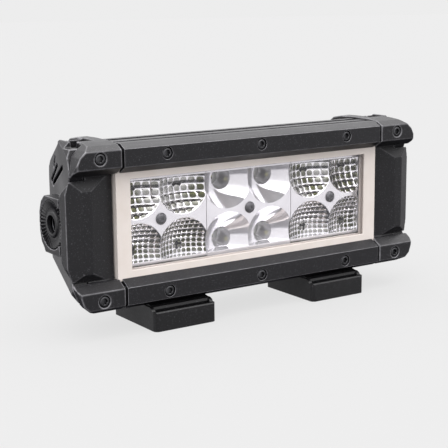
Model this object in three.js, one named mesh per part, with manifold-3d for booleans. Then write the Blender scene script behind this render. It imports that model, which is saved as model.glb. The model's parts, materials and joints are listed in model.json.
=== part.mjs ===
// Short double-row LED light bar: a finned extruded body with a bezel rail above and below the lens,
// a cast cap and a slanted side plate at each end, toothed discs for side brackets, and two feet
// that slide along a slot in the underside.
//
// Millimetres. +X runs along the bar, -Y is the front and +Z is up. The parts are drawn in the bar's
// own frame, where Y is the depth behind the front faces and Z is the height above the lens centre.
// The last group moves that frame so that the origin is on the ground under the middle of the lamp.

import * as THREE from 'three';
import { mergeVertices } from 'three/addons/utils/BufferGeometryUtils.js';
import Module from 'manifold-3d';

const manifoldLibrary = await Module();
manifoldLibrary.setup();

// ---------------------------------------------------------------- driving dimensions

const GAP = 0.3;                  // clearance kept between neighbouring pieces
const FRONT_TO_ORIGIN = 24;       // depth of the origin behind the front faces
const AXIS_HEIGHT = 50.7;         // lens centre above the ground
const BODY_HALF_HEIGHT = 38.4;    // top and bottom of the extruded body
const BODY_DEPTH = 51;            // front faces to the tip of the middle rear fin

const JOINT_X = 76.5;             // middle of the gap between a rail and an end cap
const JOINT_GAP = 1.2;
const BODY_END_X = JOINT_X - JOINT_GAP / 2;
const CAP_START_X = JOINT_X + JOINT_GAP / 2;

const RAIL_REAR_Y = 9.5;
const RAIL_FLAT_LOW = 28;         // the rail's flat front lies between these two heights
const RAIL_FLAT_HIGH = 36.2;
const RAIL_BEVEL_DEPTH = 4;
const LIP_Z = 24.65;              // inner edge of the rails, over the seal
const LIP_Y = 5.4;
const RAIL_SCREWS_X = [-53.4, 0, 53.4];
const SCREW_Z = 32.6;
const CAP_SCREW_X = 88;
const SCREW_HEAD_RADIUS = 2.6;
const SCREW_SHANK_RADIUS = 1.5;
const HEAD_SEAT_DEPTH = 2.2;

const SEAL_FRONT_Y = 5.7;
const SEAL_REAR_Y = 10;
const SEAL_HALF = { x: 77.8, z: 26 };
const WINDOW_HALF = { x: 70.2, z: 21.4 };
const LENS_HALF = { x: 72.4, z: 23.4 };
const LENS_FRONT_Y = 6.9;
const LENS_THICKNESS = 2.2;

const FLANGE_Y = 9.8;             // front of the body's two flanges
const CAVITY_HALF_Z = 29.5;
const BASE_FRONT_Y = 31.5;
const BASE_REAR_Y = 35.5;
const FIN_PITCH = 6.9;
const FIN_COUNT_EACH_SIDE = 5;
const FIN_THICKNESS = 2.2;
const FIN_DROP = 9;               // how much shorter the outermost rear fin is than the middle one

const SLOT = { y: 19.5, mouth: 3.5, half: 5.5, floor: -32.6, lip: -36 };

const MODULE_PITCH = 51.3;        // one reflector module holds two by two cups
const REFLECTOR_CENTRES = [-MODULE_PITCH, 0, MODULE_PITCH];
const MODULE_HALF = { x: 25.5, z: 24.3 };
const REFLECTOR_FRONT_Y = 10.8;
const REFLECTOR_REAR_Y = 28.6;
const CUP_PITCH_X = 25.5;
const CUP_Z = 15;
const CUP_MOUTH_RADIUS = 14.2;
const CUP_THROAT_RADIUS = 4.6;
const SHELF_Z = 19.6;             // flat shelf that cuts the cups off towards the rails
const SIDE_WALL_X = 70.4;         // flat wall that ends the outermost cups
const MODULE_SCREW_RADIUS = 1.5;
const MODULE_HEAD_RADIUS = 2.9;
const END_SCREW_X = 71.4;
const MODULE_SCREWS_X = [-END_SCREW_X, ...REFLECTOR_CENTRES, END_SCREW_X];
const END_SCREW_SINK = 1.2;       // the end screws are sunk, because the seal lies over them
const BOARD_FRONT_Y = 29.6;
const BOARD_THICKNESS = 1.6;

const PLATE_GROOVE = 0.9;         // visible gap between an end cap and its side plate
const BOSS_FACE_X = 102;
const END_X = 102.6;              // outermost face of the toothed disc
const DISC = { y: 24.6, z: 0.9, radius: 11.3, bore: 4.3, teeth: 36, thickness: 2.6 };

const FOOT_X = 46.5;
const FOOT_HALF_WIDTH = 17;
const FOOT_FRONT_Y = -3;
const FOOT_REAR_Y = 37.8;
const FOOT_LIP_Z = -41.4;
const FOOT_SHOULDER_Z = -39.7;    // top of the foot beside its neck
const FOOT_TOP_Z = -BODY_HALF_HEIGHT - GAP;
const FOOT_NECK_HALF_WIDTH = 16;
const BOLT_RADIUS = 3;
const BOLT_HEAD_RADIUS = 5.2;

// ---------------------------------------------------------------- materials

const finish = (color, roughness, metalness, extra = {}) =>
  new THREE.MeshStandardMaterial({ color, roughness, metalness, ...extra });

const MATERIALS = {
  powderCoat: finish(0x2a2a2d, 0.5, 0.2),
  castBlack: finish(0x252527, 0.55, 0.2),
  footBlack: finish(0x1c1c1e, 0.5, 0.2),
  screwBlack: finish(0x141416, 0.35, 0.6),
  steel: finish(0x9a9a9c, 0.35, 0.9),
  rubber: finish(0x0c0c0d, 0.85, 0),
  seal: finish(0xe2d7cf, 0.6, 0),
  lens: finish(0xf4f8fa, 0.05, 0, { transparent: true, opacity: 0.35 }),
  chrome: finish(0xd8d8dc, 0.08, 1),
  board: finish(0xeeeeec, 0.5, 0),
  emitter: finish(0xe8d86a, 0.4, 0),
  component: finish(0x1f3d2a, 0.5, 0),
};

// ---------------------------------------------------------------- solids

/** Turns a closed geometry into a manifold solid. */
function solid(geometry) {
  const bare = geometry.clone();
  bare.deleteAttribute('normal');
  bare.deleteAttribute('uv');
  const merged = mergeVertices(bare, 1e-4);
  const mesh = new manifoldLibrary.Mesh({
    numProp: 3,
    vertProperties: new Float32Array(merged.attributes.position.array),
    triVerts: new Uint32Array(merged.index.array),
  });
  return new manifoldLibrary.Manifold(mesh);
}

/** Turns a manifold solid back into a geometry. */
function geometryOf(manifold) {
  const mesh = manifold.getMesh();
  const geometry = new THREE.BufferGeometry();
  geometry.setAttribute('position', new THREE.BufferAttribute(mesh.vertProperties, 3));
  geometry.setIndex(new THREE.BufferAttribute(mesh.triVerts, 1));
  const faceted = geometry.toNonIndexed();
  faceted.computeVertexNormals();
  return faceted;
}

/** The same geometry on the other side of the plane X = 0. */
function mirrored(geometry) {
  const source = geometry.index ? geometry.toNonIndexed() : geometry;
  const flipped = source.clone();
  const position = flipped.attributes.position;
  for (let i = 0; i < position.count; i += 3) {
    const order = [0, 2, 1].map((k) =>
      new THREE.Vector3().fromBufferAttribute(source.attributes.position, i + k));
    order.forEach((p, k) => position.setXYZ(i + k, -p.x, p.y, p.z));
  }
  flipped.computeVertexNormals();
  return flipped;
}

function shapeOf(points) {
  return new THREE.Shape(points.map(([a, b]) => new THREE.Vector2(a, b)));
}

function extruded(shape, length, basis, origin) {
  const geometry = new THREE.ExtrudeGeometry(shape, { depth: length, bevelEnabled: false, curveSegments: 5 });
  const matrix = new THREE.Matrix4().makeBasis(...basis);
  matrix.setPosition(...origin);
  return geometry.applyMatrix4(matrix);
}

const X_AXIS = new THREE.Vector3(1, 0, 0);
const Y_AXIS = new THREE.Vector3(0, 1, 0);
const Z_AXIS = new THREE.Vector3(0, 0, 1);

/** A (y, z) outline drawn along X from x0 to x1. */
function alongX(outline, x0, x1) {
  const shape = Array.isArray(outline) ? shapeOf(outline) : outline;
  return extruded(shape, x1 - x0, [Y_AXIS, Z_AXIS, X_AXIS], [x0, 0, 0]);
}

/** An (x, z) outline drawn along Y from y0 to y1. */
function alongY(outline, y0, y1) {
  const shape = Array.isArray(outline) ? shapeOf(outline) : outline;
  return extruded(shape, y1 - y0, [X_AXIS, Z_AXIS, Y_AXIS.clone().negate()], [0, y1, 0]);
}

/** An (x, y) outline drawn along Z from z0 to z1. */
function alongZ(outline, z0, z1) {
  const shape = Array.isArray(outline) ? shapeOf(outline) : outline;
  return extruded(shape, z1 - z0, [X_AXIS, Y_AXIS, Z_AXIS], [0, 0, z0]);
}

function box([x0, x1], [y0, y1], [z0, z1]) {
  const geometry = new THREE.BoxGeometry(x1 - x0, y1 - y0, z1 - z0);
  return geometry.translate((x0 + x1) / 2, (y0 + y1) / 2, (z0 + z1) / 2);
}

/** A cone or cylinder along Y: radius r0 at y0 and r1 at y1. */
function roundY(x, z, r0, r1, y0, y1, segments = 12) {
  const geometry = new THREE.CylinderGeometry(r1, r0, y1 - y0, segments);
  return geometry.translate(x, (y0 + y1) / 2, z);
}

function roundX(y, z, radius, x0, x1, segments = 16) {
  const geometry = new THREE.CylinderGeometry(radius, radius, x1 - x0, segments);
  return geometry.rotateZ(-Math.PI / 2).translate((x0 + x1) / 2, y, z);
}

function roundZ(x, y, radius, z0, z1, segments = 16) {
  const geometry = new THREE.CylinderGeometry(radius, radius, z1 - z0, segments);
  return geometry.rotateX(Math.PI / 2).translate(x, y, (z0 + z1) / 2);
}

/** A rectangle with round corners, centred on (a, b). */
function roundedRectangle(a, b, halfA, halfB, radius) {
  const shape = new THREE.Shape();
  shape.moveTo(a - halfA + radius, b - halfB);
  shape.lineTo(a + halfA - radius, b - halfB);
  shape.absarc(a + halfA - radius, b - halfB + radius, radius, -Math.PI / 2, 0);
  shape.lineTo(a + halfA, b + halfB - radius);
  shape.absarc(a + halfA - radius, b + halfB - radius, radius, 0, Math.PI / 2);
  shape.lineTo(a - halfA + radius, b + halfB);
  shape.absarc(a - halfA + radius, b + halfB - radius, radius, Math.PI / 2, Math.PI);
  shape.lineTo(a - halfA, b - halfB + radius);
  shape.absarc(a - halfA + radius, b - halfB + radius, radius, Math.PI, Math.PI * 1.5);
  return shape;
}

/** A (radius, y) outline turned round the Y axis. */
function lathed(profile, segments) {
  return new THREE.LatheGeometry(profile.map(([radius, y]) => new THREE.Vector2(radius, y)), segments);
}

/** Everything on the far side of a plane, where normal · p is below the offset. */
function beyondPlane(normal, offset) {
  const size = 300;
  const direction = normal.clone().normalize();
  const block = new THREE.BoxGeometry(size, size, size).translate(0, 0, -size / 2);
  block.applyQuaternion(new THREE.Quaternion().setFromUnitVectors(Z_AXIS, direction));
  return block.translate(...direction.multiplyScalar(offset / normal.length()).toArray());
}

/** Cuts every geometry of a list out of a geometry. */
function cut(geometry, tools) {
  return geometryOf(tools.reduce((body, tool) => body.subtract(solid(tool)), solid(geometry)));
}

// ---------------------------------------------------------------- body and rails

/** Tip of the rear fin at a height: the middle fins are the longest. */
function finTip(z) {
  const outermost = FIN_PITCH * FIN_COUNT_EACH_SIDE;
  return BODY_DEPTH - FIN_DROP * (z / outermost) ** 2;
}

/** The rear comb of the body's section, from the top fin to the bottom one. */
function rearFins() {
  const points = [];
  for (let i = FIN_COUNT_EACH_SIDE; i >= -FIN_COUNT_EACH_SIDE; i -= 1) {
    const z = i * FIN_PITCH;
    points.push([BASE_REAR_Y, z + FIN_THICKNESS / 2], [finTip(z), z + FIN_THICKNESS / 2]);
    points.push([finTip(z), z - FIN_THICKNESS / 2], [BASE_REAR_Y, z - FIN_THICKNESS / 2]);
  }
  return points;
}

function heatsinkHousing() {
  const top = BODY_HALF_HEIGHT;
  const flangeLip = 24.8;
  const ledge = 0.5;
  const outline = [
    [BASE_FRONT_Y, CAVITY_HALF_Z], [12.5, CAVITY_HALF_Z], [12.5, flangeLip],
    [SEAL_REAR_Y + ledge, flangeLip], [SEAL_REAR_Y + ledge, 26.6], [FLANGE_Y, 26.6], [FLANGE_Y, 35.5],
    [12.3, 35.5], [12.3, top], [17.5, top], [17.5, 35], [21.6, 35], [21.6, top], [24.5, top], [26, 35.6],
    ...rearFins(),
    [26, -35.6], [26, -top],
    [SLOT.y + SLOT.mouth, -top], [SLOT.y + SLOT.mouth, SLOT.lip], [SLOT.y + SLOT.half, SLOT.lip],
    [SLOT.y + SLOT.half, SLOT.floor], [SLOT.y - SLOT.half, SLOT.floor], [SLOT.y - SLOT.half, SLOT.lip],
    [SLOT.y - SLOT.mouth, SLOT.lip], [SLOT.y - SLOT.mouth, -top],
    [FLANGE_Y, -top], [FLANGE_Y, -26.6], [SEAL_REAR_Y + ledge, -26.6],
    [SEAL_REAR_Y + ledge, -flangeLip], [12.5, -flangeLip], [12.5, -CAVITY_HALF_Z],
    [BASE_FRONT_Y, -CAVITY_HALF_Z],
  ];
  const radius = SCREW_SHANK_RADIUS + GAP;
  const railHoles = [SCREW_Z, -SCREW_Z].flatMap((z) =>
    RAIL_SCREWS_X.map((x) => roundY(x, z, radius, radius, FLANGE_Y - 1, 13.2)));
  const moduleHoles = MODULE_SCREWS_X.map((x) =>
    roundY(x, 0, radius, radius, BASE_FRONT_Y - 1, BASE_FRONT_Y + 3));
  return cut(alongX(outline, -BODY_END_X, BODY_END_X), [...railHoles, ...moduleHoles]);
}

/** A stepped hole for a front screw: a seat for its head and a clear hole for its shank. */
function screwHoles(x, z, depth) {
  return [
    roundY(x, z, SCREW_HEAD_RADIUS + GAP, SCREW_HEAD_RADIUS + GAP, -1, HEAD_SEAT_DEPTH, 20),
    roundY(x, z, SCREW_SHANK_RADIUS + GAP, SCREW_SHANK_RADIUS + GAP, HEAD_SEAT_DEPTH - 0.5, depth),
  ];
}

/** The upper rail has side 1 and the lower rail side -1. */
function bezelRail(side) {
  const outline = [
    [0, RAIL_FLAT_LOW], [0, RAIL_FLAT_HIGH], [RAIL_BEVEL_DEPTH, BODY_HALF_HEIGHT],
    [RAIL_REAR_Y, BODY_HALF_HEIGHT], [RAIL_REAR_Y, 26.3], [LIP_Y, 26.3], [LIP_Y, LIP_Z],
  ].map(([y, z]) => [y, z * side]);
  const holes = RAIL_SCREWS_X.flatMap((x) => screwHoles(x, SCREW_Z * side, RAIL_REAR_Y + 1));
  return cut(alongX(outline, -BODY_END_X, BODY_END_X), holes);
}

/** Socket screw with its head in the seat, pointing to the rear. */
function frontScrew(length) {
  const headFront = 0.3;
  const headRear = HEAD_SEAT_DEPTH - GAP / 2;
  const profile = [
    [0, headFront], [SCREW_HEAD_RADIUS - 0.5, headFront], [SCREW_HEAD_RADIUS, headFront + 0.5],
    [SCREW_HEAD_RADIUS, headRear], [SCREW_SHANK_RADIUS, headRear], [SCREW_SHANK_RADIUS, length - 0.5],
    [SCREW_SHANK_RADIUS - 0.5, length], [0, length],
  ];
  const socket = roundY(0, 0, 1.35, 1.35, -1, 1.6, 6);
  return cut(lathed(profile, 14), [socket]);
}

// ---------------------------------------------------------------- optics and electronics

function lensSeal() {
  const half = SEAL_HALF;
  const ring = box([-half.x, half.x], [SEAL_FRONT_Y, SEAL_REAR_Y], [-half.z, half.z]);
  const window = box([-WINDOW_HALF.x, WINDOW_HALF.x], [0, 20], [-WINDOW_HALF.z, WINDOW_HALF.z]);
  const groove = box(
    [-LENS_HALF.x - GAP, LENS_HALF.x + GAP],
    [LENS_FRONT_Y - GAP, LENS_FRONT_Y + LENS_THICKNESS + GAP],
    [-LENS_HALF.z - GAP, LENS_HALF.z + GAP],
  );
  return cut(ring, [window, groove]);
}

function lens() {
  const { x, z } = LENS_HALF;
  return box([-x, x], [LENS_FRONT_Y, LENS_FRONT_Y + LENS_THICKNESS], [-z, z]);
}

/** The hollow of a reflector cup: a paraboloid from its throat to a little in front of its mouth. */
function cupHollow() {
  const rings = 5;
  const depth = REFLECTOR_REAR_Y - REFLECTOR_FRONT_Y;
  const wall = [];
  for (let ring = -1; ring <= rings + 1; ring += 1) {
    const t = ring / rings;
    const area = THREE.MathUtils.lerp(CUP_MOUTH_RADIUS ** 2, CUP_THROAT_RADIUS ** 2, t);
    wall.push([Math.sqrt(Math.max(area, 1)), REFLECTOR_FRONT_Y + depth * t]);
  }
  return lathed([[0, wall[0][1]], ...wall, [0, wall.at(-1)[1]]], 24);
}

/**
 * One reflector module: a block with two by two cups and a screw hole between them. The cups of
 * neighbouring modules run into each other, and a shelf cuts them off above and below. An end module
 * lies on side -1 or 1, where a flat wall closes it and a sunk screw holds it.
 */
function reflectorModule(side) {
  const { x: halfX, z: halfZ } = MODULE_HALF;
  const block = solid(box([-halfX, halfX], [REFLECTOR_FRONT_Y, REFLECTOR_REAR_Y], [-halfZ, halfZ]));
  const wall = SIDE_WALL_X - MODULE_PITCH;
  const room = solid(box([side < 0 ? -wall : -60, side > 0 ? wall : 60], [0, 60], [-SHELF_Z, SHELF_Z]));
  const columns = [-CUP_PITCH_X / 2, CUP_PITCH_X / 2];
  if (side < 1) columns.push(MODULE_PITCH - CUP_PITCH_X / 2);
  if (side > -1) columns.push(CUP_PITCH_X / 2 - MODULE_PITCH);
  let body = block;
  for (const x of columns) {
    for (const z of [-CUP_Z, CUP_Z]) {
      body = body.subtract(solid(cupHollow().translate(x, 0, z)).intersect(room));
    }
  }
  const hole = MODULE_SCREW_RADIUS + GAP;
  const front = REFLECTOR_FRONT_Y - 1;
  body = body.subtract(solid(roundY(0, 0, hole, hole, front, REFLECTOR_REAR_Y + 1)));
  if (side) {
    const x = side * (END_SCREW_X - MODULE_PITCH);
    const seat = MODULE_HEAD_RADIUS + GAP;
    body = body
      .subtract(solid(roundY(x, 0, hole, hole, front, REFLECTOR_REAR_Y + 1)))
      .subtract(solid(roundY(x, 0, seat, seat, front, REFLECTOR_FRONT_Y + END_SCREW_SINK, 16)));
  }
  return geometryOf(body);
}

/** Round-headed screw that holds a reflector module and the board to the body. */
function reflectorScrew(sink = 0) {
  const head = REFLECTOR_FRONT_Y - GAP + sink;
  const tip = BASE_FRONT_Y + 2.4;
  const front = head - 1.1;
  return lathed([
    [0, front], [MODULE_HEAD_RADIUS - 0.8, front], [MODULE_HEAD_RADIUS, head - 0.4],
    [MODULE_HEAD_RADIUS, head], [MODULE_SCREW_RADIUS, head], [MODULE_SCREW_RADIUS, tip], [0, tip],
  ], 16);
}

function ledBoard() {
  const plate = box([-75.5, 75.5], [BOARD_FRONT_Y, BOARD_FRONT_Y + BOARD_THICKNESS], [-28, 28]);
  const hole = MODULE_SCREW_RADIUS + GAP;
  const holes = MODULE_SCREWS_X.map((x) =>
    roundY(x, 0, hole, hole, BOARD_FRONT_Y - 1, BOARD_FRONT_Y + 3));
  return cut(plate, holes);
}

/** Square LED package with a round dome, standing on the board. */
function ledEmitter() {
  const rear = BOARD_FRONT_Y - GAP;
  const base = solid(box([-1.9, 1.9], [rear - 1, rear], [-1.9, 1.9]));
  const dome = new THREE.SphereGeometry(1.6, 12, 6).translate(0, rear - 1, 0);
  const front = solid(box([-2, 2], [rear - 3, rear - 0.5], [-2, 2]));
  return geometryOf(base.add(solid(dome).intersect(front)));
}

/** Power board along the bottom of the cavity, with its coil and capacitors. */
function driverBoard() {
  const floor = -CAVITY_HALF_Z + GAP;
  const parts = [
    box([-38, 38], [13.2, 23.8], [floor, floor + 1.5]),
    box([-30, -21], [14.2, 22.6], [floor + 1, floor + 4.4]),
    box([-4, 4], [15, 22], [floor + 1, floor + 3.8]),
    box([18, 24], [14.5, 21.5], [floor + 1, floor + 4.2]),
  ];
  return geometryOf(parts.map(solid).reduce((all, part) => all.add(part)));
}

// ---------------------------------------------------------------- end caps and side plates

/** Side view of a cap with its plate, (y, z). */
const SIDE_OUTLINE = [
  [0, 36.2], [4, 38.4], [10, 39.2], [24, 39.4], [33, 39.2], [40, 38], [44.4, 35], [49, 28], [50, 20],
  [50, -18], [46, -28], [39, -36.5], [34, -38.4], [4, -38.4], [0, -36.2],
];

/** Front view of the right cap, (x, z). */
const CAP_OUTLINE = [
  [70, 41], [89, 41], [95.1, 36.6], [98.2, 33.7], [99.9, 30.3], [101, 26.9], [103, 21], [103, -21],
  [101, -26], [99.4, -31], [98.4, -34], [95, -37], [92.5, -39.5], [70, -41],
];

/** Front view of the right plate, (x, z): its upper corner is fuller than the cap's. */
const PLATE_OUTLINE = [
  [70, 41], [93, 41], [95.5, 39], [98, 36.5], [100, 33], [103, 26], [103, -21],
  [101, -26], [99.4, -31], [98.4, -34], [95, -37], [92.5, -39.5], [70, -41],
];

/** Plan view of the right cap with its plate, (x, y): the side leans in towards the rear. */
const PLAN_OUTLINE = [
  [70, -1], [99.6, -1], [99.6, 0], [101, 2.5], [101, 5.5], [90, 50.5], [89.8, 52], [70, 52],
];

/** The lower outer corner is cut off along a plane: normal · p is at least the offset. */
const CORNER_PLANE = { normal: new THREE.Vector3(-0.78, -0.43, 1), offset: -112 };

/** The upper rear corner of the outer part is cut off along this side view, (y, z). */
const REAR_SLOPE = [
  [26, 41], [28, 37.4], [40.8, 30.6], [46, 27.6], [50, 23.6], [52, 19.5], [60, 19.5], [60, 41],
];
const REAR_SLOPE_START_X = 83.5;

/** Side view of the border between the cap and the plate, (y, z), with everything behind it. */
function behindBorder(shift) {
  const border = [
    [9.8, 45], [9.8, 36], [8.8, 33.3], [6, 28.4], [6.4, 24.8], [7.5, 21.5], [12.4, 17.2], [15, 15],
    [15.6, 4], [15.6, -9.5], [15, -15], [11.2, -18], [8, -21.5], [5.8, -26.2], [4.6, -30.1], [4.6, -45],
  ];
  const line = border.map(([y, z]) => [y + shift, z]);
  return [...line, [60, -45], [60, 45]];
}

/** Everything outboard of the cap's core: the side plate sits here, and its inside leans in too. */
function outsideCore(shift) {
  const leaning = [[92.8, -10], [92.8, 6], [87.3, 52], [87.3, 60]].map(([x, y]) => [x + shift, y]);
  return alongZ([...leaning, [130, 60], [130, -10]], -60, 60);
}

/** The raised middle of a cap between its two blocks: sloping panels that meet at a narrow ridge. */
function capRidge() {
  const plan = [[78.2, 8.6], [91, 4.5], [95.6, 4.5], [102.5, 7.7], [102.5, 14], [78.2, 14]];
  const end = 28.6;
  const side = [[9.8, end], [4.5, 18], [4.5, -20], [9.8, -end], [14, -end], [14, end]];
  const front = [[70, end], [99.5, end], [102.5, 17], [102.5, -17], [99.5, -end], [70, -end]];
  return solid(alongZ(plan, -30, 30))
    .intersect(solid(alongX(side, 70, 110)))
    .intersect(solid(alongY(front, 0, 20)));
}

/** The outer shape of a cap or a plate, from its front view. */
function endEnvelope(frontOutline) {
  return solid(alongX(SIDE_OUTLINE, 70, 110))
    .intersect(solid(alongY(frontOutline, -5, 60)))
    .intersect(solid(alongZ(PLAN_OUTLINE, -60, 60)))
    .subtract(solid(alongX(REAR_SLOPE, REAR_SLOPE_START_X, 120)))
    .subtract(solid(beyondPlane(CORNER_PLANE.normal, CORNER_PLANE.offset)));
}

/** Open pockets in the top and in the underside, shared by a cap and its plate. */
const END_POCKETS = [
  box([83, 94], [16.5, 27], [34, 45]),
  box([85, 96], [15.5, 23.5], [-45, -29]),
];

/** Room for the toothed disc and its bush. */
const DISC_SEAT = roundX(DISC.y, DISC.z, DISC.radius + GAP, END_X - DISC.thickness - GAP, 120, 32);

const BUSH = { radius: 6.2, start: 80.5, end: 99.2, bore: 4 };
const REAR_FITTING = { x: 82, z: -4, radius: 4.3, front: 43.4, rear: 50.6 };

function endCap() {
  const { x, z, radius, front } = REAR_FITTING;
  const beforeStart = box([60, CAP_START_X], [-10, 70], [-60, 60]);
  const middlePocket = alongX([
    [-1, 28.6], [0, RAIL_FLAT_LOW], [LIP_Y, LIP_Z], [12, LIP_Z], [12, -LIP_Z], [LIP_Y, -LIP_Z],
    [0, -RAIL_FLAT_LOW], [-1, -28.6],
  ], 60, 110);
  const plateRoom = solid(alongX(behindBorder(0), 60, 120)).intersect(solid(outsideCore(0)));
  const sealPocket = box([60, SEAL_HALF.x + GAP], [LIP_Y, SEAL_REAR_Y + GAP], [-26.3, 26.3]);
  const opticsPocket = box([60, 79], [SEAL_REAR_Y, BASE_FRONT_Y], [-26.3, 26.3]);
  const fittingHole = roundY(x, z, radius + GAP, radius + GAP, front - 0.4, 60, 16);
  const bushHole = roundX(DISC.y, DISC.z, BUSH.radius + GAP, BUSH.start - GAP, 120);
  const screws = [SCREW_Z, -SCREW_Z].flatMap((height) => screwHoles(CAP_SCREW_X, height, 15));
  const tools = [
    beforeStart, sealPocket, opticsPocket, fittingHole, bushHole, DISC_SEAT, ...END_POCKETS, ...screws,
  ];
  const body = endEnvelope(CAP_OUTLINE)
    .subtract(solid(middlePocket))
    .add(capRidge())
    .subtract(plateRoom);
  return geometryOf(tools.reduce((cap, tool) => cap.subtract(solid(tool)), body));
}

/** A slanted vent slot of the side plate between two points of its side view. */
function ventSlot([y0, z0], [y1, z1], width) {
  const direction = new THREE.Vector2(y1 - y0, z1 - z0);
  const shape = roundedRectangle(0, 0, (direction.length() + width) / 2, width / 2, width / 2 - 0.01);
  const slot = alongX(shape, 60, 120);
  return slot.rotateX(direction.angle()).translate(0, (y0 + y1) / 2, (z0 + z1) / 2);
}

/** Side view of the plate's boss round the disc, (y, z), with a step in its lower rear corner. */
const BOSS_OUTLINE = [
  [11, -13], [31.5, -13], [33.2, -10.6], [35.4, -8.6], [36.6, -4], [37, 1], [36.6, 6], [34.6, 10.8],
  [31, 13.8], [16, 13.8], [11, 9],
];

function endPlate() {
  const boss = solid(alongX(BOSS_OUTLINE, 80, BOSS_FACE_X));
  const bushHole = roundX(DISC.y, DISC.z, BUSH.radius + GAP, 60, 120);
  const slots = [
    ventSlot([19.7, 27.6], [41.1, 17], 2.4),
    ventSlot([30.4, 27.3], [44.2, 18.2], 2.2),
    ventSlot([34.6, 30.5], [38, 25.8], 1.8),
  ];
  const body = endEnvelope(PLATE_OUTLINE)
    .add(boss)
    .intersect(solid(outsideCore(GAP)))
    .intersect(solid(alongX(behindBorder(PLATE_GROOVE), 60, 120)));
  const lowCorner = box([80, 104], [-2, 17], [36.6, 45]);
  const tools = [...END_POCKETS, lowCorner, DISC_SEAT, bushHole, ...slots];
  return geometryOf(tools.reduce((plate, tool) => plate.subtract(solid(tool)), body));
}

/** Threaded bush behind the toothed disc: it takes the side bracket's bolt. */
function mountBush() {
  const bush = roundX(DISC.y, DISC.z, BUSH.radius, BUSH.start, BUSH.end);
  return cut(bush, [roundX(DISC.y, DISC.z, BUSH.bore, BUSH.start + 3, BUSH.end + 5)]);
}

/** Dished disc with radial teeth round its outer face. */
function mountDisc() {
  const rear = END_X - DISC.thickness;
  const rings = [
    { radius: DISC.bore, high: END_X - 1, low: END_X - 1 },
    { radius: 6, high: END_X - 1, low: END_X - 1 },
    { radius: 9.2, high: END_X - 0.6, low: END_X - 1.2 },
    { radius: DISC.radius, high: END_X, low: END_X - 1 },
    { radius: DISC.radius, high: rear, low: rear },
    { radius: DISC.bore, high: rear, low: rear },
  ];
  const steps = DISC.teeth * 2;
  const vertices = [];
  const indices = [];
  for (let step = 0; step < steps; step += 1) {
    const angle = (step / steps) * Math.PI * 2;
    for (const ring of rings) {
      const x = step % 2 ? ring.low : ring.high;
      vertices.push(x, DISC.y + ring.radius * Math.cos(angle), DISC.z + ring.radius * Math.sin(angle));
    }
    for (let r = 0; r < rings.length; r += 1) {
      const a = step * rings.length + r;
      const b = step * rings.length + ((r + 1) % rings.length);
      const c = ((step + 1) % steps) * rings.length + r;
      const d = ((step + 1) % steps) * rings.length + ((r + 1) % rings.length);
      indices.push(a, b, c, b, d, c);
    }
  }
  const geometry = new THREE.BufferGeometry();
  geometry.setAttribute('position', new THREE.Float32BufferAttribute(vertices, 3));
  geometry.setIndex(indices);
  return geometry;
}

/** Rubber gasket between the body's end and a cap, open at the front for the lens seal. */
function endGasket() {
  const inner = BASE_FRONT_Y + 0.4;
  const outer = inner + 2.6;
  const outline = [
    [1.5, 27.6], [1.5, 35.4], [4.8, 37.4], [outer, 37.4], [outer, -37.4], [4.8, -37.4], [1.5, -35.4],
    [1.5, -27.6], [inner, -27.6], [inner, 27.6],
  ];
  return alongX(outline, BODY_END_X + GAP, CAP_START_X - GAP);
}

/** Cable gland in the rear of the right cap: a ribbed nut with a blind cable hole. */
function cableGland() {
  const { x, z, radius, front } = REAR_FITTING;
  const barrel = solid(roundY(x, z, radius, radius, front, 47.5, 16));
  const nut = solid(roundY(x, z, radius, radius - 0.6, 47.2, BODY_DEPTH, 8));
  const cableHole = solid(roundY(x, z, 2.4, 2.4, 45, 60, 12));
  return geometryOf(barrel.add(nut).subtract(cableHole));
}

/** Breather plug in the rear of the left cap. */
function breatherVent() {
  const { x, z, radius, front, rear } = REAR_FITTING;
  const profile = [
    [0, front], [radius, front], [radius, rear - 1], [radius - 1, rear], [2.2, rear], [1.8, rear - 0.8],
    [0, rear - 0.8],
  ];
  return lathed(profile, 16).translate(-x, 0, z);
}

// ---------------------------------------------------------------- feet

/** A foot: a block with a front lip, a narrow gap behind it and a rounded neck up to the body. */
function foot() {
  const bottom = -AXIS_HEIGHT;
  const block = [
    [FOOT_FRONT_Y, bottom], [FOOT_REAR_Y, bottom], [FOOT_REAR_Y - 0.6, -44],
    [FOOT_REAR_Y - 2, FOOT_SHOULDER_Z], [2.4, FOOT_SHOULDER_Z], [0.8, -40.4], [0, FOOT_LIP_Z],
    [FOOT_FRONT_Y + 0.8, FOOT_LIP_Z], [FOOT_FRONT_Y + 0.3, FOOT_LIP_Z - 0.5],
  ];
  const neck = [
    [3, -46], [1.9, -42.6], [1.6, -41], [2.1, -39.9], [3.4, -39.2], [6, FOOT_TOP_Z],
    [FOOT_REAR_Y - 3, FOOT_TOP_Z], [FOOT_REAR_Y - 2.6, -46],
  ];
  const middleY = (FOOT_FRONT_Y + FOOT_REAR_Y) / 2;
  const halfDepth = (FOOT_REAR_Y - FOOT_FRONT_Y) / 2;
  const footprint = roundedRectangle(0, middleY, FOOT_HALF_WIDTH, halfDepth, 2.4);
  const gap = box([-15.2, 15.2], [-1.2, 3.5], [-45, -30]);
  const shankHole = roundZ(0, SLOT.y, BOLT_RADIUS + GAP, -60, -30);
  const headSeat = roundZ(0, SLOT.y, BOLT_HEAD_RADIUS + 0.4, -60, bottom + 6.6, 20);
  const body = solid(alongX(block, -FOOT_HALF_WIDTH - 1, FOOT_HALF_WIDTH + 1))
    .intersect(solid(alongZ(footprint, -60, -30)))
    .subtract(solid(gap))
    .add(solid(alongX(neck, -FOOT_NECK_HALF_WIDTH, FOOT_NECK_HALF_WIDTH)));
  return geometryOf(body.subtract(solid(shankHole)).subtract(solid(headSeat)));
}

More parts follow.
